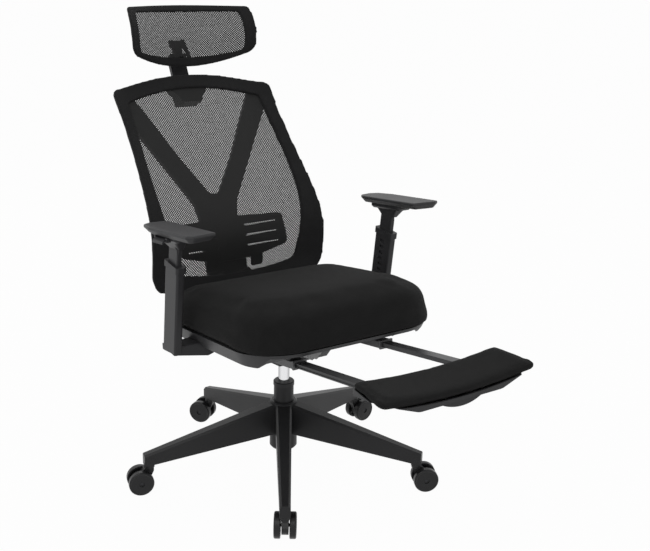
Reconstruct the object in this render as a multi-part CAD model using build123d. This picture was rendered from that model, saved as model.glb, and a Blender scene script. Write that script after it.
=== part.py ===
from build123d import *
from math import atan2, cos, degrees, radians, sin
import os

os.makedirs("parts", exist_ok=True)

# Reclining office chair with a slide-out footrest. Millimetres, +Z up, the sitter faces -Y.
# The origin is on the floor under the gas lift, which stands on the Z axis.

# ---------------------------------------------------------------- driving dimensions
running = 0.05          # radial clearance of a shaft that turns in a bore
sliding = 0.35          # clearance all round a moulded part that slides
seat_gap = 0.3          # gap left between a cushion and what carries it

# base and casters
arm_count = 5
first_arm_angle = -121.0
stem_circle_r = 348.0
arm_end_past = 13.0     # an arm ends this far past its caster's stem
arm_end_r = stem_circle_r + arm_end_past
arm_top_root_z = 190.0
arm_top_end_z = 100.0
arm_bottom_root_z = 110.0
arm_bottom_end_z = 70.0
arm_root_width = 42.0
arm_end_width = 25.0
arm_wall = 3.5
arm_chamfer = 5.0
arm_rib = 2.5
arm_rib_count = 5
hub_r = 35.0
hub_bottom_z = 67.0
hub_top_z = 196.0
socket_r = 13.0
socket_bottom_z = 64.5
stem_r = 5.5
stem_length = 30.0
wheel_r = 31.0
wheel_width = 15.5
wheel_gap = 21.0
wheel_edge = 4.0
fork_width = 16.0
fork_r = 22.0
axle_r = 4.0
caster_trail = 23.0
caster_directions = [56.0, -26.0, 8.0, 127.0, 165.0]

# gas lift
tube_r = 25.0
tube_taper = 1.2        # how much the tube narrows towards its foot
tube_bottom_z = 62.0
tube_top_z = 238.0
tube_wall = 2.0
bush_top_z = 249.0
bush_ring_r = 26.5
bush_length = 62.0
cylinder_r = 14.0
cylinder_wall = 2.5
cylinder_bottom_z = 134.0
cylinder_top_z = 340.0
piston_rod_r = 5.0
piston_top_z = 222.0
bearing_height = 9.0

# seat frame: the whole seat is tipped nose-up on the mechanism
seat_ref_z = 360.0
seat_tilt = 6.5
seat_half_width = 265.0
seat_front_y = -334.0
seat_rear_y = 186.0
seat_front_corner = 125.0
seat_rear_corner = 72.0
pan_lip_z = 30.0        # lowest edge of the pan
pan_plate_z = 40.0      # underside of the pan's plate
pan_plate = 4.0
pan_rim_z = 64.0        # top edge of the pan, under the cushion's side
pan_top_inset = 14.0    # the pan's wall draws in from the cushion's side
pan_low_inset = 30.0
pan_wall = 6.0
tray_front_y = -248.0   # the tray ends here, behind a solid bar
front_lip_z = 56.0      # the bar is cut away below this so that the footrest passes
board_thickness = 10.0
foot_notch = 4.0        # room round an arm rest's foot where it passes the pan's lip

# tilt mechanism under the seat
housing_half_width = 68.0
housing_front_y = -108.0
housing_rear_y = 118.0
housing_depth = 78.0
housing_wall = 4.0
flange_width = 18.0
recline_y = 86.0
recline_z = 2.0
shaft_r = 8.0
spring_wire_r = 2.4
spring_turns = 9
knob_r = 22.0
knob_length = 26.0
screw_r = 6.0
lever_reach = 248.0
lever_rod_r = 4.0
lever_y = 56.0
lever_z = -12.0
lever_pivot_x = 45.0
lever_pin_r = 3.0
button_r = 4.0
bracket_half = 58.0
bracket_gap_half = 34.0
bar_half = 32.0         # half the width of the bar that carries the back
bar_thickness = 9.0

# back, in its own leaning frame (u across, n behind, v up along the back)
back_lean = 28.0
back_foot_y = 210.0
back_foot_z = 480.0
back_top_half = 233.0
back_corner_v = 527.0
back_crown_v = 564.0
back_bottom_half = 257.0
back_sag_v = -20.0
border_thickness = 14.0
mesh_thickness = 1.6
support_thickness = 15.0
stem_half_width = 57.0
shell_half = 250.0      # where the depths of the back's sides are given

# headrest
head_lean = 19.0
head_y = 574.0
head_z = 1034.0
head_offset = 58.0      # from the hinge forward to the middle of the mesh
head_half_width = 181.0
head_radius = 300.0
head_border = 26.0
head_thickness = 12.0
neck_depth = 86.0       # how far the neck stands behind the back's datum
neck_half_width = 24.0
neck_thickness = 12.0
neck_bend_drop = 48.0   # the neck bends forward from here, below the hinge
neck_notch = 26.0       # below the hinge the neck is narrow this far, where the ears swing
knuckle_r = 10.0
pin_r = 4.0

# arm rests
sleeve_x = 298.4
arm_foot_y = 12.5       # middle of the arm rest's foot, in the seat frame
arm_foot_z = 21.5
arm_bolt_x = 172.0
arm_bolt_apart = 40.0
bolt_r = 4.0
arm_rake = 6.7          # the uprights lean forward
sleeve_length = 225.0
sleeve_depth = 62.0
sleeve_width = 20.0
collar_height = 13.0
collar_proud = 2.5
post_depth = 44.0
post_width = 13.0
post_above = 64.0
post_inside = 140.0
height_step = 16.0
height_notches = 6
pad_length = 254.0
pad_width = 76.0
pad_thickness = 17.0
pad_slope = 6.5
pad_front_y = -160.0
pad_front_z = 708.0
pad_x = 305.0
carrier_thickness = 12.0
pad_slide = 25.0

# footrest, in the frame of its rails (q along the rail, n square to it)
rail_x = 120.0
rail_pitch = 2.9
knuckle_x = 68.0
knuckle_wall = 4.0
rail_origin_y = -235.0
rail_origin_z = 18.9
rail_height = 10.5
rail_width = 25.5
rail_wall = 1.8
rail_front_q = -313.0
rail_rear_q = 88.0
guide_mouth_q = -28.5
guide_rear_q = 330.0
guide_wall = 2.4
guide_side = 4.2
guide_collar = 5.0
cross_tube_r = 7.0
cross_tube_q = -306.0
cross_tube_n = -18.0
pad_rear_q = -321.4
pad_rear_n = 44.4
pad_pitch = 10.9        # the pad's front lies lower than its rear
pad_depth = 120.0
pad_rear_half = 187.0
pad_front_half = 203.0
pad_corner = 15.0
pad_dish = 20.0
footpad_thickness = 18.0
footshell_wall = 3.0


# ---------------------------------------------------------------- shared helpers
def write(node, *pieces):
    """Write one node; a group of like pieces stays a group of separate solids."""
    solids = [solid for piece in pieces for solid in piece.solids()]
    shape = solids[0] if len(solids) == 1 else Compound(solids)
    export_step(shape, f"parts/{node}.step")


def block(x0, x1, y0, y1, z0, z1):
    """A box between two corners."""
    centre = ((x0 + x1) / 2, (y0 + y1) / 2, (z0 + z1) / 2)
    return Pos(*centre) * Box(abs(x1 - x0), abs(y1 - y0), abs(z1 - z0))


def turned(profile):
    """Turn a closed (radius, height) outline about the Z axis."""
    return revolve(Plane.XZ * make_face(Polyline(*profile, close=True)), Axis.Z)


def upright(radius, z0, z1, x=0.0, y=0.0):
    """A round bar on a vertical axis."""
    return Pos(x, y, (z0 + z1) / 2) * Cylinder(radius, z1 - z0)


def across(radius, x0, x1, y=0.0, z=0.0):
    """A round bar that runs sideways."""
    return Pos((x0 + x1) / 2, y, z) * Rot(0, 90, 0) * Cylinder(radius, x1 - x0)


def lengthways(radius, y0, y1, x=0.0, z=0.0):
    """A round bar that runs front to back."""
    return Pos(x, (y0 + y1) / 2, z) * Rot(90, 0, 0) * Cylinder(radius, y1 - y0)


def side_slab(outline, x0, x1):
    """Extrude a closed outline of (y, z) points or edges sideways from x0 to x1."""
    face = Plane.YZ * make_face(outline)
    return Pos(x0, 0, 0) * extrude(face, x1 - x0)


def mirrored(piece):
    """The same piece on the other side of the chair."""
    return mirror(piece, Plane.YZ)


# ---------------------------------------------------------------- five-star base
def arm_section(r, width, top, bottom, chamfer):
    """One cross-section of a base arm: flat sides and a ridge with chamfered edges."""
    half = width / 2
    points = [(-half, bottom), (half, bottom), (half, top - chamfer)]
    points += [(half - chamfer, top), (-half + chamfer, top), (-half, top - chamfer)]
    square_to_arm = Plane(origin=(r, 0, 0), x_dir=(0, 1, 0), z_dir=(1, 0, 0))
    return square_to_arm * make_face(Polyline(*points, close=True))


def arm_value(r, root, end):
    """A size that changes evenly from the hub to the arm's end."""
    return root + (end - root) * r / arm_end_r


def base_arm():
    """One hollow arm, open below and stiffened by cross ribs."""
    outer = loft([
        arm_section(8, arm_value(8, arm_root_width, arm_end_width),
                    arm_value(8, arm_top_root_z + 9, arm_top_end_z),
                    arm_value(8, arm_bottom_root_z + 4, arm_bottom_end_z), arm_chamfer),
        arm_section(arm_end_r, arm_end_width, arm_top_end_z, arm_bottom_end_z, arm_chamfer),
    ], ruled=True)
    tip = side_slab(Polyline((0, 0), (0, -30), (14, -30), close=True), -40, 40)
    outer -= Pos(arm_end_r, 0, arm_top_end_z + 1) * Rot(0, 0, -90) * tip
    inner_start, inner_end = hub_r + 4, stem_circle_r - socket_r - 3
    hollow = loft([
        arm_section(r, arm_value(r, arm_root_width, arm_end_width) - 2 * arm_wall,
                    arm_value(r, arm_top_root_z + 9, arm_top_end_z) - arm_wall - 2, 20, arm_chamfer)
        for r in (inner_start, inner_end)
    ], ruled=True)
    spacing = (inner_end - inner_start) / (arm_rib_count + 1)
    for i in range(1, arm_rib_count + 1):
        r = inner_start + i * spacing
        hollow -= block(r - arm_rib / 2, r + arm_rib / 2, -30, 30, 0, 260)
    return outer - hollow


def tube_radius(z):
    """Outer radius of the lift tube, which tapers inside the hub."""
    share = (hub_top_z - z) / (hub_top_z - hub_bottom_z)
    return tube_r - tube_taper * min(max(share, 0.0), 1.0)


def base_star():
    hub = turned([(0, hub_bottom_z), (hub_r - 4, hub_bottom_z), (hub_r, hub_bottom_z + 5),
                  (hub_r - 1, hub_top_z - 3), (hub_r - 4, hub_top_z), (0, hub_top_z)])
    arm = base_arm()
    socket = upright(socket_r, socket_bottom_z, arm_top_end_z - 6, stem_circle_r)
    hole_top = socket_bottom_z + stem_length + 1
    stem_hole = upright(stem_r + running, socket_bottom_z - 1, hole_top, stem_circle_r)
    arm = (arm + socket) - stem_hole
    star = hub
    for i in range(arm_count):
        star += Rot(0, 0, first_arm_angle + i * 360 / arm_count) * arm
    bore = turned([(0, hub_bottom_z - 40), (tube_radius(hub_bottom_z) + 0.02, hub_bottom_z - 40),
                   (tube_radius(hub_bottom_z) + 0.02, hub_bottom_z), (tube_r + 0.02, hub_top_z),
                   (tube_r + 0.02, hub_top_z + 40), (0, hub_top_z + 40)])
    return star - bore


# ---------------------------------------------------------------- casters
def caster_place(i):
    """Where caster i stands and which way it trails."""
    angle = radians(first_arm_angle + i * 360 / arm_count)
    return Location((stem_circle_r * cos(angle), stem_circle_r * sin(angle), 0), (0, 0, caster_directions[i]))


def caster_fork():
    """The fork between the two wheels, with its stem."""
    half = fork_width / 2
    disc = Pos(caster_trail, 0, wheel_r) * Rot(90, 0, 0) * Cylinder(fork_r, fork_width)
    top_z = socket_bottom_z - 0.5
    neck_line = Polyline((-10, top_z), (-10, top_z - 8), (caster_trail - fork_r + 1, wheel_r),
                         (caster_trail, wheel_r), (caster_trail, wheel_r + fork_r - 0.5), (12, top_z),
                         close=True)
    neck = extrude(Plane.XZ * make_face(neck_line), half, both=True)
    seat = upright(socket_r - 2.5, top_z - 5, top_z)
    stem = upright(stem_r, top_z - 2, socket_bottom_z + stem_length)
    bore = Pos(caster_trail, 0, wheel_r) * Rot(90, 0, 0) * Cylinder(axle_r + running, fork_width + 2)
    return disc + neck + seat + stem - bore


def caster_wheel():
    """One wheel: rounded tread, a shallow dish outside and a hollow inside, pressed on the axle."""
    inner, outer = wheel_gap / 2, wheel_gap / 2 + wheel_width
    tread = wheel_r - wheel_edge
    outline = [
        Line((axle_r, inner), (11, inner)), Line((11, inner), (11, inner + 7)),
        Line((11, inner + 7), (wheel_r - 5, inner + 7)), Line((wheel_r - 5, inner + 7), (wheel_r - 5, inner)),
        Line((wheel_r - 5, inner), (wheel_r - 1.5, inner)),
        Line((wheel_r - 1.5, inner), (wheel_r, inner + 1.5)),
        Line((wheel_r, inner + 1.5), (wheel_r, outer - wheel_edge)),
        RadiusArc((wheel_r, outer - wheel_edge), (tread, outer), -wheel_edge),
        Line((tread, outer), (tread - 2, outer - 1.2)),
        Line((tread - 2, outer - 1.2), (axle_r + 3, outer - 0.4)),
        Line((axle_r + 3, outer - 0.4), (axle_r + 3, outer - 2.5)),
        Line((axle_r + 3, outer - 2.5), (axle_r, outer - 2.5)),
        Line((axle_r, outer - 2.5), (axle_r, inner)),
    ]
    disc = revolve(Plane.XZ * make_face(outline), Axis.Z)
    return Pos(caster_trail, 0, wheel_r) * Rot(-90, 0, 0) * disc


def caster_axle():
    reach = wheel_gap / 2 + wheel_width - 3
    return Pos(caster_trail, 0, wheel_r) * Rot(90, 0, 0) * Cylinder(axle_r, 2 * reach)


# ---------------------------------------------------------------- gas lift
def lift_tube():
    wall_out = [(0, tube_bottom_z), (tube_radius(hub_bottom_z) - 1, tube_bottom_z),
                (tube_radius(hub_bottom_z), hub_bottom_z), (tube_r, hub_top_z), (tube_r, tube_top_z)]
    inside = tube_r - tube_taper - tube_wall
    wall_in = [(inside, tube_top_z), (inside, tube_bottom_z + 4), (0, tube_bottom_z + 4)]
    return turned(wall_out + wall_in) - upright(piston_rod_r + running, tube_bottom_z - 1, tube_bottom_z + 5)


def lift_bush():
    """Plastic guide inside the tube's mouth, with the collar that shows above it."""
    inside = tube_r - tube_taper - tube_wall
    return turned([(cylinder_r + running, tube_top_z - bush_length), (inside, tube_top_z - bush_length),
                   (inside, tube_top_z), (bush_ring_r, tube_top_z), (bush_ring_r, bush_top_z - 2),
                   (bush_ring_r - 2, bush_top_z), (cylinder_r + running, bush_top_z)])


def bearing_floor():
    """Height of the tube's floor, where the thrust bearing lies."""
    return tube_bottom_z + 4


def thrust_bearing():
    """Two washers with a ring of balls in a cage between them."""
    z = bearing_floor()
    hole, rim = piston_rod_r + 0.6, 12.0
    lower = upright(rim, z, z + 2) - upright(hole, z, z + 2)
    upper = upright(rim, z + bearing_height - 2, z + bearing_height) - upright(hole, z, z + bearing_height)
    cage = upright(rim - 1, z + 3.5, z + bearing_height - 3.5) - upright(hole + 1, z, z + bearing_height)
    ball_r = (bearing_height - 4) / 2
    for i in range(8):
        cage += Rot(0, 0, i * 45) * Pos((hole + rim) / 2, 0, z + bearing_height / 2) * Sphere(ball_r)
    return [lower, cage, upper]


def lift_rod():
    """Piston rod with its shoulder on the thrust bearing and its head inside the cylinder."""
    z = bearing_floor() + bearing_height
    head_r = cylinder_r - cylinder_wall - 0.5
    return turned([(0, tube_bottom_z - 5), (piston_rod_r, tube_bottom_z - 5), (piston_rod_r, z), (9, z),
                   (9, z + 4), (piston_rod_r, z + 5), (piston_rod_r, piston_top_z - 12),
                   (head_r, piston_top_z - 12), (head_r, piston_top_z), (0, piston_top_z)])


def lift_clip():
    """Spring clip that holds the rod under the tube's floor."""
    ring = upright(9, tube_bottom_z - 2.5, tube_bottom_z - 0.3)
    ring -= upright(piston_rod_r, tube_bottom_z - 3, tube_bottom_z)
    return ring - block(3, 10, -2, 2, tube_bottom_z - 3, tube_bottom_z)


def lift_cylinder():
    """Chrome pressure cylinder; its tapered top fits the mechanism."""
    inside = cylinder_r - cylinder_wall
    z0, z1 = cylinder_bottom_z, cylinder_top_z
    hole = button_r + running
    return turned([(piston_rod_r + running, z0), (cylinder_r - 1, z0), (cylinder_r, z0 + 1),
                   (cylinder_r, z1 - 42), (cylinder_r - 1, z1), (hole, z1), (hole, z1 - 12),
                   (inside, z1 - 12), (inside, z0 + 12), (piston_rod_r + running, z0 + 12)])


def lift_button():
    """Valve button on top of the cylinder, pressed by the height lever."""
    z1 = cylinder_top_z
    collar_z = z1 - 12 - seat_gap
    return upright(button_r, z1 - 14, z1 + 5) + upright(button_r + 2, collar_z - 3, collar_z)


# ---------------------------------------------------------------- seat, in the tipped seat frame
seat_place = Location((0, 0, seat_ref_z), (-seat_tilt, 0, 0))


def seat_plan(inset, shrink=1.0, rear_inset=None):
    """Plan of the seat, with wide front corners and tighter rear ones."""
    half = seat_half_width - inset
    front, rear = seat_front_y + inset, seat_rear_y - (inset if rear_inset is None else rear_inset)
    plan = make_face(Polyline((-half, front), (half, front), (half, rear), (-half, rear), close=True))
    corners = plan.vertices().sort_by(Axis.Y)
    plan = fillet(corners[:2], seat_front_corner * shrink)
    return fillet(plan.vertices().filter_by(lambda v: v.Y > rear - 1), seat_rear_corner * shrink)


def seat_prism(inset, z0, z1, front=seat_front_y):
    """An upright prism with the seat's plan, cut off straight at the front where that is given."""
    prism = Pos(0, 0, z0) * extrude(seat_plan(inset, 0.85), z1 - z0)
    return prism & block(-400, 400, front, 400, z0 - 1, z1 + 1)


def arm_bolt_places():
    """Where the bolts of both arm rests enter the pan."""
    return [(sx * arm_bolt_x, arm_foot_y + sy * arm_bolt_apart / 2) for sx in (-1, 1) for sy in (-1, 1)]


def seat_pan():
    """Moulded tray: a drafted rim, a plate with ribs below and notches for the arm rests' feet."""
    outer = loft([Pos(0, 0, pan_lip_z) * seat_plan(pan_low_inset, 0.82),
                  Pos(0, 0, pan_rim_z) * seat_plan(pan_top_inset, 0.92)])
    plate_top = pan_plate_z + pan_plate
    inner = pan_low_inset + pan_wall - 4
    tray = seat_prism(inner, plate_top, pan_rim_z + 10, tray_front_y)
    below = seat_prism(inner, pan_lip_z - 10, pan_plate_z)
    for side in (-1, 1):
        for x in (142, 222):
            below -= block(side * x, side * (x + 3), seat_front_y, seat_rear_y, pan_lip_z + 4, 120)
    for y in (-250, -170, 150):
        below -= block(-100, 100, y, y + 3, pan_lip_z + 4, 120)
    half = sleeve_depth / 2 + foot_notch
    feet = block(-400, 400, arm_foot_y - half, arm_foot_y + half, pan_lip_z - 30, pan_plate_z)
    rise = front_lip_z - pan_lip_z
    passage = Polyline((tray_front_y - 4, 0), (tray_front_y - 4, pan_lip_z),
                       (tray_front_y - 4 - 1.4 * rise, front_lip_z),
                       (seat_front_y - 10, front_lip_z), (seat_front_y - 10, 0), close=True)
    pan = outer - tray - below - feet - side_slab(passage, -400, 400)
    for x, y in arm_bolt_places() + bolt_places():
        pan -= upright(bolt_r, 0, plate_top + 1, x, y)
    return pan


def seat_board():
    """Plywood that lies in the tray and carries the foam."""
    plate_top = pan_plate_z + pan_plate
    front = tray_front_y + seat_gap
    return seat_prism(pan_low_inset + pan_wall - 3.5, plate_top, plate_top + board_thickness, front)


def seat_cushion():
    """Full cushion: drawn-in foot, bulging sides and a crown that is higher in front."""
    layers = [(pan_rim_z + seat_gap, 9, 9, 0.94, 0), (pan_rim_z + 11, 1.5, 1.5, 1.0, 0),
              (98, 0, 0, 1.0, 0.3), (122, 3, 5, 0.99, 1.0), (138, 11, 20, 0.95, 1.6),
              (148, 23, 42, 0.88, 2.1), (154, 38, 66, 0.8, 2.5), (158.5, 58, 92, 0.7, 2.8),
              (162, 88, 124, 0.55, 3.0), (164.5, 130, 160, 0.38, 3.0)]
    middle_y = (seat_front_y + seat_rear_y) / 2
    sections = []
    for z, inset, rear_inset, shrink, tip in layers:
        plan = Pos(0, -middle_y, 0) * seat_plan(inset, shrink, rear_inset)
        sections.append(Pos(0, middle_y, z) * Rot(-tip, 0, 0) * plan)
    floor = pan_plate_z + pan_plate + board_thickness + seat_gap
    plug = seat_prism(pan_low_inset + pan_wall - 3.5, floor, pan_rim_z + 8, tray_front_y + seat_gap)
    return loft(sections, ruled=True) + plug


# ---------------------------------------------------------------- tilt mechanism, in the seat frame
flange_top_z = pan_plate_z
housing_low_z = flange_top_z - housing_depth
knob_axis_z = housing_low_z + knob_r + 14


def bolt_places():
    """The four bolts that hold the mechanism to the pan."""
    x = housing_half_width + flange_width / 2 + 1
    return [(sx * x, y) for sx in (-1, 1) for y in (housing_front_y + 18, housing_rear_y - 22)]


def cone_socket():
    """Socket for the lift cylinder's tapered top: upright while the seat is tipped."""
    outside = upright(cylinder_r + 9, cylinder_top_z - 42, cylinder_top_z - 2)
    low_r, high_r, end_z = cylinder_r + 0.02, cylinder_r - 0.98, cylinder_top_z + 12
    bore = turned([(0, 0), (low_r, 0), (low_r, cylinder_top_z - 42), (high_r, cylinder_top_z),
                   (high_r, end_z), (0, end_z)])
    return outside, bore


def mechanism_housing():
    """Pressed steel housing: a trough with a bolting flange, a cone socket and bearing cheeks."""
    front, rear, low = housing_front_y, housing_rear_y, housing_low_z
    top = flange_top_z
    line = Polyline((front, top - 3), (front, low + 22), (front + 22, low), (recline_y - 26, low),
                    (recline_y + 4, recline_z - 20), (rear, recline_z - 14), (rear, top - 3), close=True)
    body = side_slab(line, -housing_half_width, housing_half_width)
    floor = low + housing_wall
    open_y = recline_y - 28
    inner = Polyline((front + housing_wall, top + 1), (front + housing_wall, low + 24), (front + 24, floor),
                     (open_y, floor), (open_y, low - 1), (rear + 9, low - 1), (rear + 9, top + 1), close=True)
    inside = housing_half_width - housing_wall
    body -= side_slab(inner, -inside, inside)
    reach = housing_half_width + flange_width
    flange = block(-reach, reach, front, rear, top - 3, top)
    flange -= block(-inside, inside, front + housing_wall, rear + 1, top - 4, top + 1)
    body += flange
    for side in (-1, 1):
        x0, x1 = sorted((side * inside, side * (housing_half_width + 5)))
        body += across(shaft_r + 6, x0, x1, recline_y, recline_z)
    body -= across(shaft_r, -90, 90, recline_y, recline_z)
    for x, y in bolt_places():
        body -= upright(bolt_r, top - 6, top + 3, x, y)
    body -= lengthways(screw_r + running, front - 2, front + housing_wall + 2, 0, knob_axis_z)
    for side in (-1, 1):
        x0, x1 = side * (inside - 1), side * (housing_half_width + 1)
        body -= block(x0, x1, lever_y - 7, lever_y + 7, lever_z - 9, lever_z + 9)
        for y in (lever_y - 13, lever_y + 9):
            body += block(side * (lever_pivot_x - 5), side * (inside + 1), y, y + 4, lever_z - 8, lever_z + 6)
        body -= lengthways(lever_pin_r + running, lever_y - 14, lever_y + 14, side * lever_pivot_x, lever_z)
    outside, bore = cone_socket()
    return (seat_place * body) + outside - bore


def mechanism_bolts():
    """Hexagon bolts through the flange into the pan."""
    bolts = []
    for x, y in bolt_places():
        head = Pos(x, y, flange_top_z - 3) * extrude(RegularPolygon(5.8, 6), -5)
        bolts.append(head + upright(bolt_r, flange_top_z - 4, flange_top_z + pan_plate - 0.2, x, y))
    return bolts


def tilt_spring():
    """Spring wound on the recline shaft between the bracket's two lugs."""
    pitch = 2 * (bracket_gap_half - 3) / spring_turns
    radius = shaft_r + seat_gap + spring_wire_r
    helix = Helix(pitch=pitch, height=pitch * spring_turns, radius=radius)
    section = Plane(origin=helix @ 0, z_dir=helix % 0) * RegularPolygon(spring_wire_r, 6)
    coil = sweep(section, path=helix)
    return Pos(-pitch * spring_turns / 2, recline_y, recline_z) * Rot(0, 90, 0) * coil


def tension_knob():
    """Lobed knob on a screw that enters the housing's front."""
    y1 = housing_front_y - 1.5
    y0 = y1 - knob_length
    grip = lengthways(knob_r, y0, y1)
    for i in range(8):
        grip -= Rot(0, i * 45, 0) * lengthways(6, y0 - 1, y1 - 5, knob_r + 3)
    screw = lengthways(screw_r, y1 - 1, housing_front_y + 48)
    return Pos(0, 0, knob_axis_z) * (grip + screw)


def recline_shaft():
    """Headed shaft that the back's bracket turns on."""
    reach = housing_half_width + 8
    head = across(shaft_r + 4, -reach - 3, -reach, recline_y, recline_z)
    return across(shaft_r, -reach, reach, recline_y, recline_z) + head


def lever(side):
    """A cranked control rod on a cross pin, with a flat paddle at the seat's edge."""
    z = lever_z
    points = [(lever_pivot_x, z), (74, z), (96, z - 10), (144, z - 10), (176, 6), (lever_reach, 7)]
    path = FilletPolyline(*[(side * x, lever_y, height) for x, height in points], radius=8)
    rod = sweep(Plane(origin=path @ 0, z_dir=path % 0) * Circle(lever_rod_r), path=path)
    paddle = Pos(side * (lever_reach - 16), lever_y + 1, 7) * Box(44, 20, 7)
    paddle = fillet(paddle.edges().filter_by(Axis.Z), 7)
    x0, x1 = side * (lever_pivot_x - 17), side * (lever_pivot_x + 6)
    hub = block(x0, x1, lever_y - 8, lever_y + 8, z - 5, z + 5)
    return rod + paddle + hub + lengthways(lever_pin_r, lever_y - 13, lever_y + 13, side * lever_pivot_x, z)


def height_lever():
    """Sitter's right: its finger presses the button on top of the gas lift."""
    low = cylinder_top_z + 5 + 2 * seat_gap - seat_ref_z
    x = -lever_pivot_x + 7
    tongue = block(x, x + 10, -5, lever_y - 7, low, lever_z + 4) + block(x, 6, -6, 8, low, low + 4.2)
    return lever(-1) + tongue


def recline_lever():
    """Sitter's left: its catch frees the lock of the back."""
    x0, x1 = lever_pivot_x - 27, lever_pivot_x - 16
    return lever(1) + block(x0, x1, lever_y - 5, lever_y + 5, lever_z - 3, lever_z + 3)


# ---------------------------------------------------------------- back, in its leaning frame
back_place = Location((0, back_foot_y, back_foot_z), (-back_lean, 0, 0))
# (height v, depth at the sides, depth in the middle) of the mesh, of the Y behind it and of the lumbar plate
back_depths = [(-60, 22, 34), (0, 8, 26), (50, -24, 2), (100, -48, -22), (160, -56, -31), (240, -47, -22),
               (360, -23, 4), (460, -2, 30), (540, 13, 47), (640, 30, 66)]
support_depths = [(-110, 100.3, 100.3), (0, 86, 86), (100, 73, 73), (200, 56, 60), (300, 44, 54),
                  (400, 38, 54), (500, 34, 58), (600, 34, 62)]
lumbar_depths = [(0, 38, 54), (60, -5, 21), (120, -22, 14), (200, -22, 14)]


# how a shell turns forward towards its sides: (share of the half width, share of the turn)
back_profile = [(0.35, 0.01), (0.7, 0.08), (0.85, 0.36), (1.0, 1.0), (1.12, 1.75)]
even_profile = [(0.35, 0.1225), (0.7, 0.49), (0.85, 0.7225), (1.0, 1.0), (1.12, 1.2544)]


def band_face(side, middle, thickness, profile):
    """Cross-section of a curved shell: across in X, depth in Y."""
    turn, t = side - middle, thickness / 2
    right = [(shell_half * across_share, middle + turn * share) for across_share, share in profile]
    points = [(-x, y) for x, y in reversed(right)] + [(0, middle)] + right
    front = [(x, y - t) for x, y in points]
    rear = [(x, y + t) for x, y in reversed(points)]
    return make_face([Spline(*front), Line(front[-1], rear[0]), Spline(*rear), Line(rear[-1], front[0])])


def curved_shell(depths, thickness, shift=0.0, profile=even_profile):
    """A shell lofted up the back through its depths."""
    return loft([Pos(0, 0, v) * band_face(side + shift, middle + shift, thickness, profile)
                 for v, side, middle in depths])


def back_shell(thickness, shift=0.0):
    """The surface of the frame and its mesh: nearly flat across, with sides that turn forward."""
    return curved_shell(back_depths, thickness, shift, back_profile)


def through(outline, reach=260.0):
    """Extrude an outline drawn in (u, v) through the depth of the back."""
    face = outline if isinstance(outline, Sketch) else make_face(outline)
    return extrude(Plane.XZ * face, reach, both=True)


def rounded(points, radii):
    """A closed outline in (u, v) with its corners rounded one by one."""
    face = make_face(Polyline(*points, close=True))
    for (u, v), radius in zip(points, radii):
        corner = [p for p in face.vertices() if abs(p.X - u) < 0.01 and abs(p.Y - v) < 0.01]
        face = fillet(corner, radius) if radius else face
    return face


def ring_outline(right, top_arc, bottom_arc, corner_top, corner_low):
    """A symmetrical outline from its right side's points and the rise of its top and bottom arcs."""
    (low_u, low_v), (top_u, top_v) = right[0], right[-1]
    left = [(-u, v) for u, v in reversed(right)]
    tu, tv = top_u - corner_top, top_v + corner_top
    bu, bv = low_u - corner_low, low_v - corner_low
    high_r, low_r = -corner_top * 1.06, -corner_low * 1.06
    return [Spline(*right), RadiusArc((top_u, top_v), (tu, tv), high_r),
            ThreePointArc((tu, tv), (0, top_arc), (-tu, tv)), RadiusArc((-tu, tv), (-top_u, top_v), high_r),
            Spline(*left), RadiusArc((-low_u, low_v), (-bu, bv), low_r),
            ThreePointArc((-bu, bv), (0, bottom_arc), (bu, bv)), RadiusArc((bu, bv), (low_u, low_v), low_r)]


def back_outline():
    """The outside of the back's frame: waisted sides, arched top and bowed bottom."""
    low, top = back_bottom_half, back_top_half
    right = [(low - 3, 24), (low - 5, 100), (low - 12, 190), (low - 21, 300), (top, back_corner_v - 22)]
    return ring_outline(right, back_crown_v, back_sag_v, 24, 28)


def window_outline(inset=0.0):
    """The opening that the mesh fills."""
    right = [(177 - inset, 34), (201 - inset, 150), (205 - inset, 280), (195 - inset, 480)]
    return ring_outline(right, back_crown_v - 38 - inset, 2 + inset, 14, 18)


def back_frame():
    return (back_shell(border_thickness) & through(back_outline())) - through(window_outline())


def back_mesh():
    return back_shell(mesh_thickness) & through(window_outline())


stem_slope = 0.13       # how fast the stem comes forward as it rises
stem_foot_n = 86.0


def stem_axis(u, v):
    """A place in the middle of the stem, its Z square to the stem and pointing backwards."""
    return Location((u, stem_foot_n - stem_slope * v, v), (-90 + degrees(atan2(stem_slope, 1)), 0, 0))


def back_bolt_places():
    return [(u, v) for u in (-20, 20) for v in (-20, 40)]


def support_outline():
    """The Y behind the mesh: two arms that meet in a broad stem."""
    half = stem_half_width
    right = [(half, -62), (half + 2, 60), (half - 2, 160), (half + 6, 205), (116, 296), (204, 446),
             (222, 500), (172, 506), (120, 410), (80, 334), (14, 228)]
    radii = [18, 0, 0, 60, 200, 0, 12, 12, 0, 200, 20]
    left = [(-u, v) for u, v in reversed(right)]
    return rounded(right + left, radii + radii[::-1])


lumbar_place = Location((0, 73, 100), (degrees(atan2(13, 100)), 0, 0))


def back_support():
    """Moulded Y that carries the frame at its upper corners and at its foot."""
    body = curved_shell(support_depths, support_thickness) & through(support_outline())
    for side in (-1, 1):
        body += Pos(side * 196, 20, 482) * Rot(90, 0, 0) * Cylinder(12, 56)
        body += Pos(side * 34, 56, 2) * Rot(90, 0, 0) * Cylinder(11, 62)
    body += lumbar_place * block(-9, 9, -13.5, -5, -75, 95)
    body -= back_shell(border_thickness + 200, -100 + 0.01)
    for u, v in back_bolt_places():
        body -= stem_axis(u, v) * upright(bolt_r, -2, 20)
    return body


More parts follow.
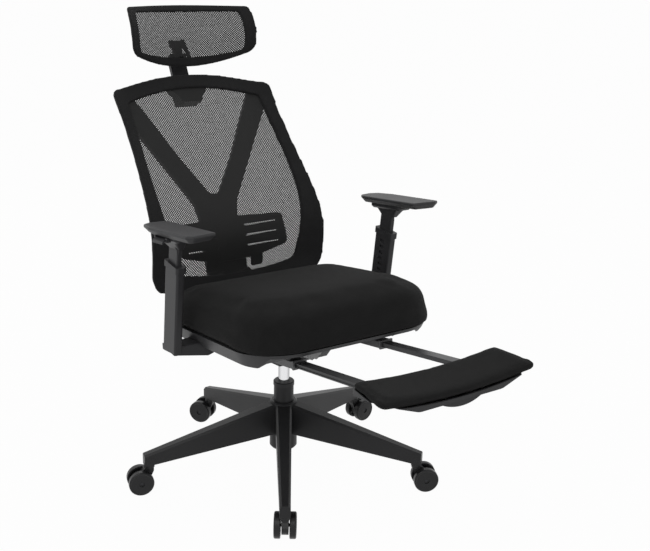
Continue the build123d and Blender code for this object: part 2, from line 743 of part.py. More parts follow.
def lumbar_support():
    """Slotted lumbar plate on a carriage that slides on the rib of the stem."""
    plate = curved_shell(lumbar_depths, 5.0)
    outline = [(-160, 60), (-60, 38), (60, 38), (160, 60), (156, 142), (30, 152), (-30, 152), (-156, 142)]
    body = plate & through(rounded(outline, [14, 30, 30, 14, 12, 30, 30, 12]))
    for side in (-1, 1):
        for row in range(3):
            body -= Pos(side * 90, 0, 70 + row * 27) * Box(92, 200, 5)
        tab = plate & through(rounded([(50, 16), (84, 16), (84, 42), (50, 42)], [8, 8, 4, 4]))
        body += tab if side > 0 else mirrored(tab)
    carriage = lumbar_place * block(-24, 24, -66, -8.5, -40, 34)
    carriage -= lumbar_place * block(-9 - sliding, 9 + sliding, -13.5 - sliding, 0, -60, 60)
    carriage -= curved_shell(lumbar_depths, 100, -50)
    return body + carriage


def back_bracket():
    """Bent steel bar from the recline shaft to the back of the stem."""
    shaft = (seat_place * Pos(0, recline_y, recline_z)).position
    behind = support_thickness / 2 + bar_thickness / 2 - 0.4
    top = (back_place * stem_axis(0, 70) * Pos(0, 0, behind)).position
    low = (back_place * stem_axis(0, -50) * Pos(0, 0, behind)).position
    knee_z = shaft.Z - 9
    knee_y = low.Y - (low.Z - knee_z) * (top.Y - low.Y) / (top.Z - low.Z)
    line = FilletPolyline((shaft.Y, shaft.Z), (knee_y, knee_z), (top.Y, top.Z), radius=42)
    bar = extrude(Plane.YZ * trace(line, line_width=bar_thickness), bar_half, both=True)
    stem = curved_shell(support_depths, support_thickness + 100, -50 + 0.02)
    bar -= back_place * (stem & block(-200, 200, -400, 400, -66, 120))
    root = Line((shaft.Y, shaft.Z), (shaft.Y + 60, shaft.Z - 3))
    bar += extrude(Plane.YZ * trace(root, line_width=bar_thickness), bracket_half, both=True)
    for side in (-1, 1):
        x0, x1 = sorted((side * bracket_gap_half, side * bracket_half))
        bar += across(shaft_r + 6, x0, x1, shaft.Y, shaft.Z)
    bar -= block(-bracket_gap_half, bracket_gap_half, shaft.Y - 30, shaft.Y + 24, shaft.Z - 30, shaft.Z + 30)
    for u, v in back_bolt_places():
        bar -= back_place * stem_axis(u, v) * upright(bolt_r, 0, 30)
    return bar - across(shaft_r + running, -90, 90, shaft.Y, shaft.Z)


def back_bolts():
    """Four bolts through the bracket into the stem."""
    seat = support_thickness / 2 + bar_thickness
    bolt = upright(bolt_r, -1.8, seat + 1) + Pos(0, 0, seat) * extrude(RegularPolygon(7, 6), 5)
    return [back_place * stem_axis(u, v) * bolt for u, v in back_bolt_places()]


# ---------------------------------------------------------------- headrest
head_place = Location((0, head_y, head_z), (-head_lean, 0, 0))


def hinge_in_back():
    """The headrest's hinge in the back's frame: depth and height."""
    dy, dz = head_y - back_foot_y, head_z - back_foot_z
    a = radians(back_lean)
    return dy * cos(a) - dz * sin(a), dy * sin(a) + dz * cos(a)


def headrest_bracket():
    """Socket behind the top of the frame, with a tapered flange that shows through the mesh."""
    half, t = neck_half_width + 8, neck_thickness / 2
    front = neck_depth - t
    socket = block(-half, half, 30, neck_depth + t + 5, 492, 558)
    plate = block(-70, 70, 30, front - 1, 440, 560) & through(rounded(
        [(-26, 488), (26, 488), (34, 502), (62, 538), (-62, 538), (-34, 502)], [4, 4, 0, 4, 4, 0]))
    body = socket + plate
    slot_half, slot_t = neck_half_width + sliding, t + sliding
    body -= block(-slot_half, slot_half, neck_depth - slot_t, neck_depth + slot_t, 470, 600)
    return body - back_shell(border_thickness + 200, -100 + 0.01)


def headrest_post():
    """Flat neck that slides in the socket, bends forward and ends in the hinge's knuckle."""
    depth, top = hinge_in_back()
    t = neck_thickness / 2
    bend = top - neck_bend_drop
    front, behind = neck_depth - t, neck_depth + t
    line = Polyline((front, 493), (behind, 493), (behind, bend), (depth + 8, top - 6), (depth + 2, top + 6),
                    (depth - 8, top - 6), (front, bend - 6), close=True)
    body = side_slab(line, -neck_half_width, neck_half_width)
    body -= Pos(0, depth, top) * Box(200, 46, 2 * neck_notch)
    body += side_slab(line, -12, 12) + across(knuckle_r, -12, 12, depth, top)
    return body - across(pin_r + running, -20, 20, depth, top)


def head_band(shift, thickness):
    """Cross-section of the headrest, concave towards the head."""
    half = 195.0
    drop = head_radius - (head_radius ** 2 - half ** 2) ** 0.5
    y, t = -head_offset + shift, thickness / 2
    front, behind = y - drop - t, y - drop + t
    return make_face([
        ThreePointArc((-half, front), (0, y - t), (half, front)), Line((half, front), (half, behind)),
        ThreePointArc((half, behind), (0, y + t), (-half, behind)), Line((-half, behind), (-half, front))])


head_shifts = [(-95, 24), (-40, 4), (10, -8), (60, 1), (110, 20)]


def head_shell(thickness, shift=0.0):
    return loft([Pos(0, 0, v) * head_band(s + shift, thickness) for v, s in head_shifts])


def head_window(inset=0.0):
    side = head_half_width - head_border - inset
    right = [(side, -30), (side + 1, 10), (side - 2, 52)]
    return ring_outline(right, 75 - inset, -50 + inset, 10, 14)


def headrest_frame():
    """Curved frame of the headrest with the two ears of its hinge."""
    side = head_half_width
    outline = ring_outline([(side, -30), (side + 1, 10), (side - 3, 62)], 94, -72, 12, 24)
    frame = head_shell(head_thickness) & through(outline) - through(head_window())
    foot = -head_offset + 2
    arm = Polyline((foot, -68), (foot, -60), (foot + 18, -50), (-10, 10), (4, 10), (10, -4), (-6, -14),
                   (foot + 22, -62), close=True)
    for side in (-1, 1):
        x0, x1 = sorted((side * 12.4, side * 22))
        ear = side_slab(arm, x0, x1) + across(knuckle_r + 1, x0, x1)
        frame += ear - head_shell(100, -50)
    return frame - across(pin_r, -30, 30)


def headrest_mesh():
    return head_shell(mesh_thickness) & through(head_window(0.15))


def headrest_pin():
    return across(pin_r, -24, 24)


# ---------------------------------------------------------------- arm rests
# These are the sitter's left pieces; the right ones are their mirror image.
arm_foot = (seat_place * Pos(sleeve_x, arm_foot_y, arm_foot_z)).position
arm_place = Location((arm_foot.X, arm_foot.Y, arm_foot.Z), (arm_rake, 0, 0))
pad_place = Location((pad_x, pad_front_y + pad_length / 2 * cos(radians(pad_slope)),
                      pad_front_z - pad_length / 2 * sin(radians(pad_slope))), (-pad_slope, 0, 0))


def arm_bracket():
    """Hollow upright with a collar, a ladder of lock notches and a foot that bolts under the seat."""
    top = sleeve_length
    sleeve = Pos(0, 0, 7) * extrude(RectangleRounded(sleeve_width, sleeve_depth, 5), top - 7)
    collar = RectangleRounded(sleeve_width + 2 * collar_proud, sleeve_depth + 2 * collar_proud, 6)
    sleeve += Pos(0, 0, top - collar_height) * extrude(collar, collar_height + 2)
    for i in range(height_notches):
        z = top - collar_height - 14 - i * height_step
        sleeve -= Pos(-sleeve_width / 2, 0, z) * Box(sleeve_width, 15, 6.5)
    high, flat = pan_plate_z, pan_plate_z - 10
    outer = sleeve_x + sleeve_width / 2
    outline = Polyline((152, high), (outer, high), (outer, 26), (outer - 4, 22), (221.5, 6), (207, 10),
                       (196, flat), (152, flat), close=True)
    foot = Pos(0, arm_foot_y, 0) * extrude(Plane.XZ * make_face(outline), sleeve_depth / 2, both=True)
    for x, y in arm_bolt_places()[2:]:
        foot -= upright(bolt_r, 0, high + 1, x, y)
    hollow = block(-post_width / 2 - sliding, post_width / 2 + sliding, -post_depth / 2 - sliding,
                   post_depth / 2 + sliding, 14, top + 10)
    return arm_place * sleeve + seat_place * foot - arm_place * hollow


def arm_bolts():
    """Bolts that hold the feet of both arm rests to the pan."""
    low = pan_plate_z - 10
    bolts = []
    for x, y in arm_bolt_places():
        head = Pos(x, y, low) * extrude(RegularPolygon(7, 6), -5)
        bolts.append(seat_place * (head + upright(bolt_r, low - 1, pan_plate_z + pan_plate - 0.2, x, y)))
    return bolts


def arm_post():
    """Sliding post that flares into the carrier under the pad."""
    top = sleeve_length + post_above
    half_w, half_d = post_width / 2, post_depth / 2
    post = block(-half_w, half_w, -half_d, half_d, sleeve_length - post_inside, top)
    post = arm_place * fillet(post.edges().filter_by(Axis.Z), 3)
    high = -pad_thickness - sliding
    low = high - carrier_thickness
    carrier = block(-22, 22, -42, 78, low, high)
    carrier = fillet(carrier.edges().filter_by(Axis.Z), 10)
    carrier = chamfer(carrier.faces().sort_by(Axis.Z)[0].edges(), 5)
    ears = block(20, 30, -12, -6, low + 1, high - 1) + block(20, 30, 46, 52, low + 1, high - 1)
    ears -= lengthways(1.5 + running, -20, 60, 26, trigger_z)
    flare = loft([Pos(sleeve_x - pad_x, 16, low - 20) * RectangleRounded(post_width + 1, post_depth, 3),
                  Pos(0, 18, low + 3) * RectangleRounded(34, 84, 6)])
    upper = carrier + ears + flare
    body = post + pad_place * upper - pad_place * upright(5 + running, low - 40, high + 5)
    return body - pad_place * block(-60, 60, -100, 120, high, high + 60)


trigger_z = -pad_thickness - sliding - 6.0


def arm_trigger():
    """Paddle under the pad's outer edge that frees the height lock; it turns on its own pins."""
    outline = [(22.5, trigger_z - 2), (26, trigger_z - 3), (34, trigger_z - 5), (37, trigger_z - 9),
               (39, trigger_z - 8), (37, trigger_z - 2), (30, trigger_z + 2.2), (24, trigger_z + 2.2)]
    face = Plane.XZ * make_face(Polyline(*outline, close=True))
    paddle = Pos(0, 45.6, 0) * extrude(face, 51.2)
    return paddle + lengthways(1.5, -11.5, 51.5, 26, trigger_z)


def arm_pivot():
    """Swivel plate in the pad's pocket, with its stud in the carrier."""
    floor = -pad_thickness - sliding + 0.3
    plate = block(-18, 18, -28, 28, floor, -pad_thickness + 6)
    plate = fillet(plate.edges().filter_by(Axis.Z), 6)
    return plate + upright(5, -pad_thickness - carrier_thickness - 2, floor + 1)


def arm_pad():
    """Soft pad: a chamfered outer front corner, a rim and an underside that draws in, with a pocket."""
    points = [(-37, -119), (22, -131), (37, -122), (40, 60), (30, 110), (10, 122), (-22, 118), (-34, 95)]
    wide, long = pad_width / 77, pad_length / 253
    edge = rounded([(wide * u, long * v) for u, v in points], [5, 6, 5, 30, 14, 12, 14, 14])
    rim = extrude(edge, 7)
    rim = Pos(0, 0, -7) * chamfer(rim.faces().sort_by(Axis.Z)[-1].edges(), 1.6)
    lowest, upper = Pos(0, 0, -pad_thickness) * offset(edge, -9), Pos(0, 0, -7) * offset(edge, -1.2)
    under = loft([lowest, upper], ruled=True)
    half = 18 + sliding
    pocket = block(-half, half, -28 - pad_slide, 28 + pad_slide, -pad_thickness - 1, -pad_thickness + 6.3)
    return rim + under - pocket


# ---------------------------------------------------------------- footrest, in the frame of its rails
rail_place = seat_place * Location((0, rail_origin_y, rail_origin_z), (-rail_pitch, 0, 0))


def rail_section(half_w, half_h):
    """C-shaped section with a groove along its outer side."""
    return [(-half_w, -half_h), (half_w, -half_h), (half_w, -2.4), (half_w - 2, -1.6), (half_w - 2, 1.6),
            (half_w, 2.4), (half_w, half_h), (-half_w, half_h)]


def footrest_rails():
    """Two tubes with a groove, welded to a cross tube under their front ends."""
    half_w, half_h = rail_width / 2, rail_height / 2
    length = rail_rear_q - rail_front_q
    frame = across(cross_tube_r, -rail_x - half_w, rail_x + half_w, cross_tube_q, cross_tube_n)
    for side in (-1, 1):
        points = [(side * x, z) for x, z in rail_section(half_w, half_h)]
        solid = extrude(Plane.XZ * make_face(Polyline(*points, close=True)), length / 2, both=True)
        solid -= Box(rail_width - 4 - 2 * rail_wall, length - 6, rail_height - 2 * rail_wall)
        frame += Pos(side * rail_x, (rail_rear_q + rail_front_q) / 2, 0) * solid
        x0, x1 = side * (rail_x - 6), side * (rail_x + 6)
        q0, q1 = cross_tube_q - cross_tube_r, cross_tube_q + cross_tube_r
        frame += block(x0, x1, q0, q1, cross_tube_n, -half_h + 0.5)
    return frame


def footrest_guides():
    """Guides that hang under the pan on two straps each, with a collar at the mouth."""
    guides = []
    inner_w, inner_h = rail_width / 2 + sliding, rail_height / 2 + sliding
    outer_w, outer_h = inner_w + guide_side, inner_h + guide_wall
    mouth = guide_mouth_q + guide_collar
    for side in (-1, 1):
        guide = block(-outer_w, outer_w, mouth, guide_rear_q, -outer_h, outer_h)
        guide += block(-outer_w - 1, outer_w + 1, guide_mouth_q, mouth, -outer_h - 2, outer_h + 2)
        for q in (24, 290):
            guide += block(-outer_w, outer_w, q - 14, q + 14, outer_h - 1, 60)
        guide -= block(-inner_w, inner_w, guide_mouth_q - 1, guide_rear_q + 1, -inner_h, inner_h)
        guide -= block(-5, 5, 26, guide_rear_q - 30, -outer_h - 1, -inner_h + 1)
        above = block(-400, 400, -600, 400, pan_plate_z, 400)
        guides.append(rail_place * Pos(side * rail_x, 0, 0) * guide - seat_place * above)
    return guides


# frame of the pad: Y runs along its depth, Z square to it, Z = 0 at its two ends
pad_frame = rail_place * Location((0, pad_rear_q, pad_rear_n), (pad_pitch, 0, 0))


def pad_plan(inset=0.0):
    """Plan of the footrest: longer in front, with rounded corners."""
    rear, front = -inset, -pad_depth + inset
    a, b = pad_rear_half - inset, pad_front_half - inset
    face = make_face(Polyline((-a, rear), (a, rear), (b, front), (-b, front), close=True))
    return fillet(face.vertices(), pad_corner - inset)


def dished(high, low):
    """A slab that dips between the pad's two ends, from one depth to another."""
    half = 215.0
    top, bottom = high - pad_dish, low - pad_dish
    lines = [ThreePointArc((-half, high), (0, top), (half, high)), Line((half, high), (half, low)),
             ThreePointArc((half, low), (0, bottom), (-half, low)), Line((-half, low), (-half, high))]
    return Pos(0, -pad_depth / 2, 0) * extrude(Plane.XZ * make_face(lines), pad_depth, both=True)


def footrest_cushion():
    """Padded top, dished for the calves, with its edges rolled over."""
    body = dished(0, -footpad_thickness) & (Pos(0, 0, -80) * extrude(pad_plan(), 160))
    faces = body.faces().sort_by(Axis.Z)
    body = fillet(faces[-1].edges(), 7)
    return pad_frame * body


def shell_trough(lift):
    """Space above the shell's bottom, which is flat in the middle and rises to both ends."""
    high, low = 20 + lift, -23 + lift
    floor = FilletPolyline((-225, high), (-107, low), (107, low), (225, high), radius=40)
    sides = Polyline((225, high), (225, 120), (-225, 120), (-225, high))
    face = Plane.XZ * make_face([floor, sides])
    return Pos(0, pad_rear_q - pad_depth / 2, 0) * extrude(face, pad_depth, both=True)


def footrest_shell():
    """Hollow shell under the pad, with hinge knuckles round the cross tube and a pull lip in front."""
    wall = footshell_wall
    plan = Pos(0, 0, -120) * extrude(pad_plan(2.5), 140)
    hollow_plan = Pos(0, 0, -120) * extrude(pad_plan(2.5 + wall), 140)
    rear = cross_tube_q - cross_tube_r - 4
    shell = (rail_place * shell_trough(0)) & (pad_frame * plan)
    shell &= rail_place * block(-300, 300, -600, rear, -200, 200)
    lip_line = [ThreePointArc((-52, -22), (0, -34), (52, -22)), Line((52, -22), (-52, -22))]
    lip = Pos(0, pad_rear_q - 98, 0) * extrude(Plane.XZ * make_face(lip_line), 8, both=True)
    shell += rail_place * lip
    for side in (-1, 1):
        x0, x1 = side * (knuckle_x - 15), side * (knuckle_x + 15)
        outer_r = cross_tube_r + knuckle_wall
        knuckle = across(outer_r, *sorted((x0, x1)), cross_tube_q, cross_tube_n)
        knuckle += block(x0, x1, pad_rear_q - 4, cross_tube_q, cross_tube_n - 4, cross_tube_n + outer_r)
        shell += rail_place * knuckle
    hollow = (rail_place * shell_trough(wall)) & (pad_frame * hollow_plan)
    shell -= hollow & (rail_place * block(-300, 300, -600, rear - wall, -200, 200))
    shell -= pad_frame * dished(60, -footpad_thickness)
    return shell - rail_place * across(cross_tube_r + running, -160, 160, cross_tube_q, cross_tube_n)


# ---------------------------------------------------------------- build and write the nodes
write("base_star", base_star())
for i in range(arm_count):
    write(f"caster_{i + 1}_fork", caster_place(i) * caster_fork())
    wheel = caster_wheel()
    write(f"caster_{i + 1}_wheels", caster_place(i) * wheel, caster_place(i) * mirror(wheel, Plane.XZ))
    write(f"caster_{i + 1}_axle", caster_place(i) * caster_axle())
write("lift_tube", lift_tube())
write("lift_bush", lift_bush())
write("lift_thrust_bearing", *thrust_bearing())
write("lift_rod", lift_rod())
write("lift_clip", lift_clip())
write("lift_cylinder", lift_cylinder())
write("lift_button", lift_button())
write("mechanism_housing", mechanism_housing())
write("mechanism_bolts", *[seat_place * bolt for bolt in mechanism_bolts()])
write("recline_shaft", seat_place * recline_shaft())
write("tilt_spring", seat_place * tilt_spring())
write("tension_knob", seat_place * tension_knob())
write("height_lever", seat_place * height_lever())
write("recline_lever", seat_place * recline_lever())
write("seat_pan", seat_place * seat_pan())
write("seat_board", seat_place * seat_board())
write("seat_cushion", seat_place * seat_cushion())
write("back_bracket", back_bracket())
write("back_bolts", *back_bolts())
write("back_support", back_place * back_support())
write("back_frame", back_place * back_frame())
write("back_mesh", back_place * back_mesh())
write("lumbar_support", back_place * lumbar_support())
write("headrest_bracket", back_place * headrest_bracket())
write("headrest_post", back_place * headrest_post())
write("headrest_pin", head_place * headrest_pin())
write("headrest_frame", head_place * headrest_frame())
write("headrest_mesh", head_place * headrest_mesh())
for name, hand in (("left", lambda piece: piece), ("right", mirrored)):
    write(f"arm_{name}_bracket", hand(arm_bracket()))
    write(f"arm_{name}_post", hand(arm_post()))
    write(f"arm_{name}_trigger", hand(pad_place * arm_trigger()))
    write(f"arm_{name}_pivot", hand(pad_place * arm_pivot()))
    write(f"arm_{name}_pad", hand(pad_place * arm_pad()))
write("arm_bolts", *arm_bolts())
write("footrest_guides", *footrest_guides())
write("footrest_rails", rail_place * footrest_rails())
write("footrest_shell", footrest_shell())
write("footrest_cushion", footrest_cushion())
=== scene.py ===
from math import cos, radians, sin, sqrt, tau

import bmesh
import bpy
from mathutils import Matrix, Vector
from mathutils.bvhtree import BVHTree


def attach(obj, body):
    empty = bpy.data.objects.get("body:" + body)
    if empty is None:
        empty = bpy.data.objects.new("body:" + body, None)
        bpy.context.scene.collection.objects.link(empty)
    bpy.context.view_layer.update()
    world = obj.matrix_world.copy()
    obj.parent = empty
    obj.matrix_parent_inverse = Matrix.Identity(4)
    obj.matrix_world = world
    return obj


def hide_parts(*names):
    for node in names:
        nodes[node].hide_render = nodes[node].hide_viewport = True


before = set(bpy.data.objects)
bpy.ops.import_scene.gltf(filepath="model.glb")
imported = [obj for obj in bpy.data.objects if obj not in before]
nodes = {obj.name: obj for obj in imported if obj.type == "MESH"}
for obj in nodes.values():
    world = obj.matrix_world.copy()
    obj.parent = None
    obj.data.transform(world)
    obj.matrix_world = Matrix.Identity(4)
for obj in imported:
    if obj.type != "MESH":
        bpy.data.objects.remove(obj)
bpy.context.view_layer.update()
scene = bpy.context.scene


# ---------------------------------------------------------------- camera
# The chair is seen from its front right and a little above the seat. The camera stands at a
# bearing and a height angle from a point near the lift, and is rolled a little.
bearing, height_angle, roll = radians(-34.36), radians(17.66), radians(1.32)
camera_distance, lens, film_width = 2.427, 54.976, 36.0
aim_across, aim_height = 0.098, 0.528
outward = cos(height_angle)
backward = Vector((sin(bearing) * outward, -cos(bearing) * outward, sin(height_angle)))
level = Vector((cos(bearing), sin(bearing), 0))
upward = backward.cross(level)
aim = level * aim_across + Vector((0, 0, aim_height))
across = level * cos(roll) + upward * sin(roll)
upward = upward * cos(roll) - level * sin(roll)
camera_data = bpy.data.cameras.new("camera")
camera_data.sensor_width = film_width
camera_data.lens = lens
camera = bpy.data.objects.new("camera", camera_data)
view_axes = Matrix((across, upward, backward)).transposed().to_4x4()
camera.matrix_world = Matrix.Translation(aim + backward * camera_distance) @ view_axes
scene.collection.objects.link(camera)
scene.camera = camera


# ---------------------------------------------------------------- studio
# A plain pale floor and soft light from above. The floor and the room look white to the camera
# and in polished metal, and the floor still takes the chair's shadow.
scene.view_settings.view_transform = "Standard"
white_light = (1, 1, 1, 1)
room_light = 0.42
floor_reach = 90.0
floor_colour = (0.86, 0.86, 0.86, 1.0)
floor_white = 0.97
lit_point = Vector((0, 0, 0.6))     # the lamps point at the middle of the chair


def set_inputs(node, **values):
    """Sets a node's named inputs; a space in an input's name is written as an underscore."""
    for socket, value in values.items():
        node.inputs[socket.replace("_", " ")].default_value = value


def new_material(name):
    """A material with its node tree and its shader."""
    material = bpy.data.materials.new(name)
    material.use_nodes = True
    return material, material.node_tree, material.node_tree.nodes["Principled BSDF"]


def seen_white(tree):
    """1 for the rays that show the white background: camera, mirror and glass rays."""
    path = tree.nodes.new("ShaderNodeLightPath")
    value = path.outputs["Is Camera Ray"]
    for ray in ("Is Glossy Ray", "Is Transmission Ray"):
        either = tree.nodes.new("ShaderNodeMath")
        either.operation = "MAXIMUM"
        tree.links.new(value, either.inputs[0])
        tree.links.new(path.outputs[ray], either.inputs[1])
        value = either.outputs[0]
    return value


world = bpy.data.worlds.new("room")
world.use_nodes = True
room = world.node_tree
white = room.nodes["Background"]
set_inputs(white, Color=white_light, Strength=1.0)
soft = room.nodes.new("ShaderNodeBackground")
set_inputs(soft, Color=white_light, Strength=room_light)
either_room = room.nodes.new("ShaderNodeMixShader")
room.links.new(seen_white(room), either_room.inputs["Fac"])
room.links.new(soft.outputs[0], either_room.inputs[1])
room.links.new(white.outputs[0], either_room.inputs[2])
room.links.new(either_room.outputs[0], room.nodes["World Output"].inputs["Surface"])
scene.world = world

floor_mesh = bpy.data.meshes.new("floor")
corners = [(x * floor_reach, y * floor_reach, 0) for x, y in ((-1, -1), (1, -1), (1, 1), (-1, 1))]
floor_mesh.from_pydata(corners, [], [(0, 1, 2, 3)])
floor = bpy.data.objects.new("floor", floor_mesh)
scene.collection.objects.link(floor)
floor_paint, paint, matt = new_material("floor_paint")
set_inputs(matt, Base_Color=floor_colour, Roughness=0.9, Specular_IOR_Level=0.0)
glow = paint.nodes.new("ShaderNodeEmission")
share = paint.nodes.new("ShaderNodeMath")
share.operation = "MULTIPLY"
share.inputs[1].default_value = floor_white
paint.links.new(seen_white(paint), share.inputs[0])
either_floor = paint.nodes.new("ShaderNodeMixShader")
paint.links.new(share.outputs[0], either_floor.inputs["Fac"])
paint.links.new(matt.outputs[0], either_floor.inputs[1])
paint.links.new(glow.outputs[0], either_floor.inputs[2])
paint.links.new(either_floor.outputs[0], paint.nodes["Material Output"].inputs["Surface"])
floor_mesh.materials.append(floor_paint)

for name, place, watts, size in (
    ("key_lamp", (-2.4, -1.6, 2.9), 34.0, 2.4),
    ("fill_lamp", (2.6, -2.4, 2.2), 6.0, 2.2),
    ("back_lamp", (1.0, 2.8, 2.6), 8.0, 2.0),
):
    lamp_data = bpy.data.lights.new(name, "AREA")
    lamp_data.energy = watts
    lamp_data.size = size
    lamp = bpy.data.objects.new(name, lamp_data)
    turned = (Vector(place) - lit_point).to_track_quat("Z", "Y").to_matrix().to_4x4()
    lamp.matrix_world = Matrix.Translation(place) @ turned
    scene.collection.objects.link(lamp)


# ---------------------------------------------------------------- star base
# The five arms and the hub are one moulding in glass-filled nylon, open below with cross ribs.
# Its skin has a fine, even grain with a slight bloom where the melt ran.
nylon_colour = (0.024, 0.024, 0.025, 1.0)
satin_roughness = 0.42
dull_gloss = 0.22           # how strongly the chair's plastics and paints mirror
bloom_shade = 0.5           # how much the bloom lightens and darkens the colour
noise_mean = 0.5


def group(name, inputs, outputs):
    """A shader node group with named inputs, (label, kind, value), and outputs, (label, kind)."""
    tree = bpy.data.node_groups.new(name, "ShaderNodeTree")
    for label, kind, value in inputs:
        socket = tree.interface.new_socket(label, in_out="INPUT", socket_type=kind)
        if value is not None:
            socket.default_value = value
    for label, kind in outputs:
        tree.interface.new_socket(label, in_out="OUTPUT", socket_type=kind)
    return tree, tree.nodes.new("NodeGroupInput"), tree.nodes.new("NodeGroupOutput")


def value_node(tree, operation, a, b=None):
    """A Math node between two sockets or numbers."""
    node = tree.nodes.new("ShaderNodeMath")
    node.operation = operation
    for slot_number, value in enumerate((a, b)):
        if isinstance(value, (int, float)):
            node.inputs[slot_number].default_value = value
        elif value is not None:
            tree.links.new(value, node.inputs[slot_number])
    return node.outputs[0]


def noise(tree, place, **values):
    """A noise texture at a place given by a socket."""
    texture = tree.nodes.new("ShaderNodeTexNoise")
    tree.links.new(place, texture.inputs["Vector"])
    set_inputs(texture, **values)
    return texture


def raise_normal(tree, height, depth, result):
    """Puts a height, in a depth in metres, out as the group's normal."""
    bump = tree.nodes.new("ShaderNodeBump")
    tree.links.new(height, bump.inputs["Height"])
    tree.links.new(depth, bump.inputs["Distance"])
    tree.links.new(bump.outputs["Normal"], result.inputs["Normal"])


def make_grain():
    """Moulded skin: fine grain in the normal, slow changes of gloss and of shade."""
    tree, given, result = group(
        "moulded_grain",
        [("Grain Size", "NodeSocketFloat", 0.0006), ("Depth", "NodeSocketFloat", 0.00004),
         ("Roughness", "NodeSocketFloat", 0.45), ("Spread", "NodeSocketFloat", 0.08)],
        [("Shade", "NodeSocketFloat"), ("Roughness", "NodeSocketFloat"),
         ("Normal", "NodeSocketVector")])
    place = tree.nodes.new("ShaderNodeTexCoord").outputs["Object"]
    fine = noise(tree, place, Detail=2.0)
    grains = value_node(tree, "DIVIDE", 1.0, given.outputs["Grain Size"])
    tree.links.new(grains, fine.inputs["Scale"])
    broad = noise(tree, place, Scale=9.0, Detail=4.0)
    swing = value_node(tree, "SUBTRACT", broad.outputs["Fac"], noise_mean)
    scaled = value_node(tree, "MULTIPLY", swing, given.outputs["Spread"])
    change = value_node(tree, "MULTIPLY", scaled, 1 / noise_mean)
    rough = value_node(tree, "ADD", given.outputs["Roughness"], change)
    tree.links.new(rough, result.inputs["Roughness"])
    shade = value_node(tree, "ADD", value_node(tree, "MULTIPLY", swing, bloom_shade), 1.0)
    tree.links.new(shade, result.inputs["Shade"])
    raise_normal(tree, fine.outputs["Fac"], given.outputs["Depth"], result)
    return tree


grain = make_grain()


def shaded(tree, shader, colour, shade):
    """The surface's colour, made lighter and darker by a shade that changes over it."""
    tint = tree.nodes.new("ShaderNodeMix")
    tint.data_type = "RGBA"
    tint.blend_type = "MULTIPLY"
    tint.inputs["Factor"].default_value = 1.0
    tint.inputs[6].default_value = colour
    tree.links.new(shade, tint.inputs[7])
    tree.links.new(tint.outputs[2], shader.inputs["Base Color"])


def moulded(name, colour, roughness, grain_size=0.0006, depth=0.00004, spread=0.08, **constants):
    """A material with the moulded grain; other sockets are constants of the shader."""
    material, tree, shader = new_material(name)
    set_inputs(shader, Specular_IOR_Level=dull_gloss)
    set_inputs(shader, **constants)
    skin = tree.nodes.new("ShaderNodeGroup")
    skin.node_tree = grain
    set_inputs(skin, Grain_Size=grain_size, Depth=depth, Roughness=roughness, Spread=spread)
    shaded(tree, shader, colour, skin.outputs["Shade"])
    tree.links.new(skin.outputs["Roughness"], shader.inputs["Roughness"])
    tree.links.new(skin.outputs["Normal"], shader.inputs["Normal"])
    return material


def finish(material, *names):
    """Gives CAD nodes their finish."""
    for node in names:
        nodes[node].material_slots[0].material = material


nylon = moulded("nylon", nylon_colour, satin_roughness, grain_size=0.0008, depth=0.00006)
finish(nylon, "base_star")


# ---------------------------------------------------------------- casters
# Twin-wheel casters: a nylon fork on a steel stem, an axle pressed through it and two hard wheels
# with flat faces. The wheels are polished by use, so they shine more than the base.
wheel_colour = (0.021, 0.021, 0.022, 1.0)
blued_colour = (0.035, 0.035, 0.038, 1.0)
tyre = moulded("wheel_nylon", wheel_colour, roughness=0.27, grain_size=0.002, depth=0.00002,
               spread=0.1)
blued = moulded("blued_steel", blued_colour, roughness=0.35, grain_size=0.0004, depth=0.00001,
                Metallic=0.6)
for k in range(1, 6):
    finish(nylon, f"caster_{k}_fork")
    finish(tyre, f"caster_{k}_wheels")
    finish(blued, f"caster_{k}_axle")


# ---------------------------------------------------------------- gas lift
# A painted steel column pressed into the hub, with a plastic guide bush in its mouth. The chromed
# cylinder turns and slides in the bush; the rod, clip and thrust bearing are inside the column.
powder_colour = (0.027, 0.027, 0.028, 1.0)
satin_colour = (0.034, 0.034, 0.036, 1.0)
plated_colour = (0.5, 0.5, 0.51, 1.0)
chrome_face, face_on = (0.8, 0.8, 0.81, 1.0), 0.12
# painted reflection: the chrome is painted dark where it is seen side on
painted_dark_reflection, side_on = (0.1, 0.1, 0.105, 1.0), 0.72     # seen side on, it mirrors dark things
powder = moulded("powder_coat", powder_colour, roughness=0.46, grain_size=0.0012, depth=0.00008)
satin = moulded("satin_plastic", satin_colour, roughness=0.4, grain_size=0.0005)
plated = moulded("plated_steel", plated_colour, roughness=0.3, grain_size=0.0004, depth=0.00001,
                 Metallic=1.0)
chrome = moulded("chrome", chrome_face, roughness=0.07, grain_size=0.004, depth=0.000004,
                 spread=0.03, Metallic=1.0)
mirror = chrome.node_tree
# Painted reflection: the chrome's colour runs from bright face on to dark side on, painted in for
# the dark things it mirrors.
edge_on = mirror.nodes.new("ShaderNodeLayerWeight")
set_inputs(edge_on, Blend=0.35)
darker = mirror.nodes.new("ShaderNodeValToRGB")
face_stop, edge_stop = darker.color_ramp.elements
face_stop.color, face_stop.position = chrome_face, face_on
edge_stop.color, edge_stop.position = painted_dark_reflection, side_on
mirror.links.new(edge_on.outputs["Facing"], darker.inputs["Fac"])
mirror.links.new(darker.outputs["Color"], mirror.nodes["Principled BSDF"].inputs["Base Color"])
finish(powder, "lift_tube")
finish(satin, "lift_bush")
finish(plated, "lift_thrust_bearing", "lift_rod", "lift_clip", "lift_button")
finish(chrome, "lift_cylinder")


